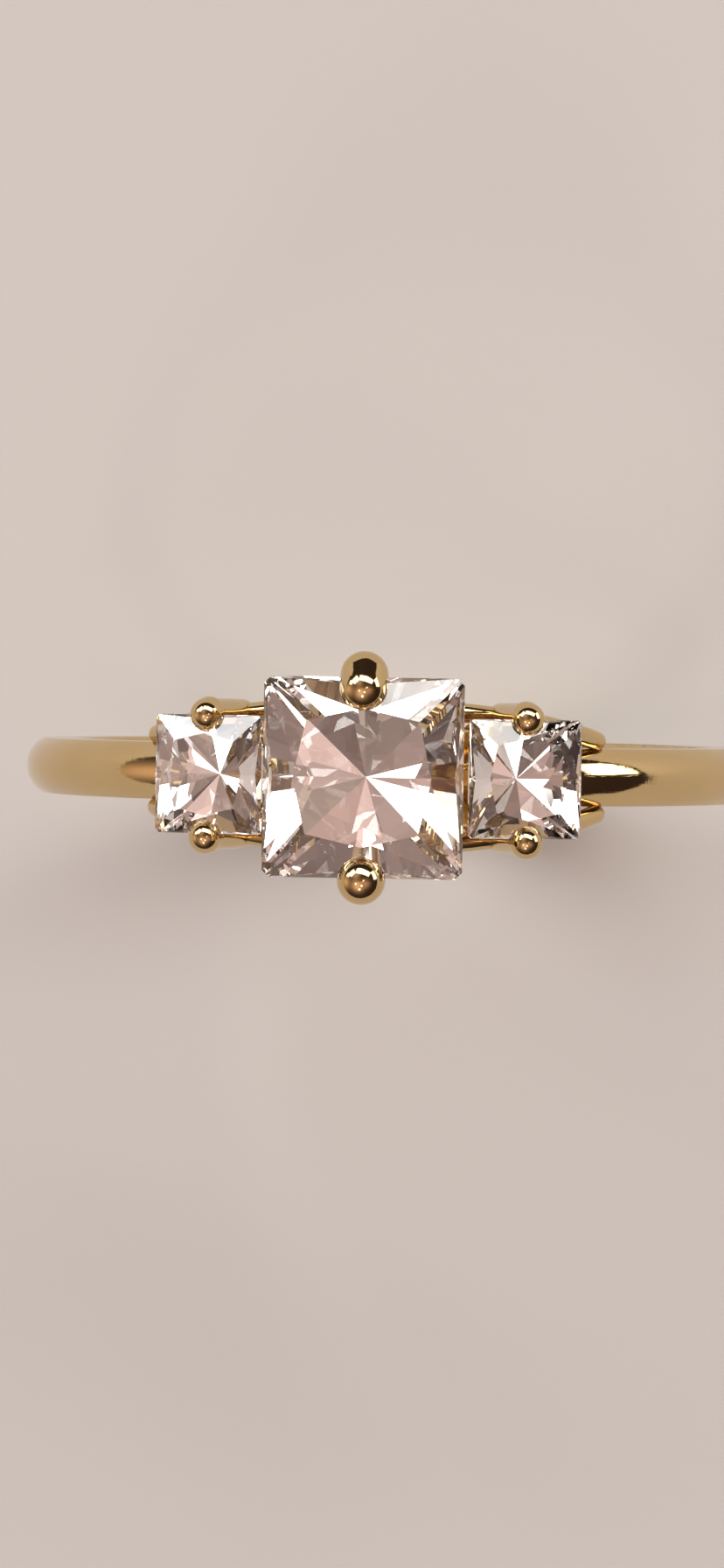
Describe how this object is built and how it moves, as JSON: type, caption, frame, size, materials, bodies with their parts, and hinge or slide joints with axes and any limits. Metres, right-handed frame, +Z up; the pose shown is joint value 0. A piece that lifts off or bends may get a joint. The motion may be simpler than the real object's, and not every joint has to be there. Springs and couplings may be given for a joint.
{
  "type": "engagement ring",
  "caption": "Yellow-gold three-stone engagement ring: square princess-cut stones in bead-tipped prongs over a gallery rail on a plain domed band.",
  "frame": {"origin": "centre of the finger hole", "axes": "+Y along the finger, +Z up through the centre stone, +X to the right hand side stone"},
  "size_m": [0.02, 0.0062, 0.0241],
  "materials": {
    "gold": "polished",
    "stone": "faceted and polished"
  },
  "bodies": {
    "root": {"shank": "gold", "front_gallery_rail": "gold", "back_gallery_rail": "gold", "centre_seat": "gold", "left_seat": "gold", "right_seat": "gold", "centre_front_prong": "gold", "centre_back_prong": "gold", "left_front_prong": "gold", "left_back_prong": "gold", "right_front_prong": "gold", "right_back_prong": "gold", "centre_stone": "stone", "left_stone": "stone", "right_stone": "stone"}
  },
  "joints": []
}
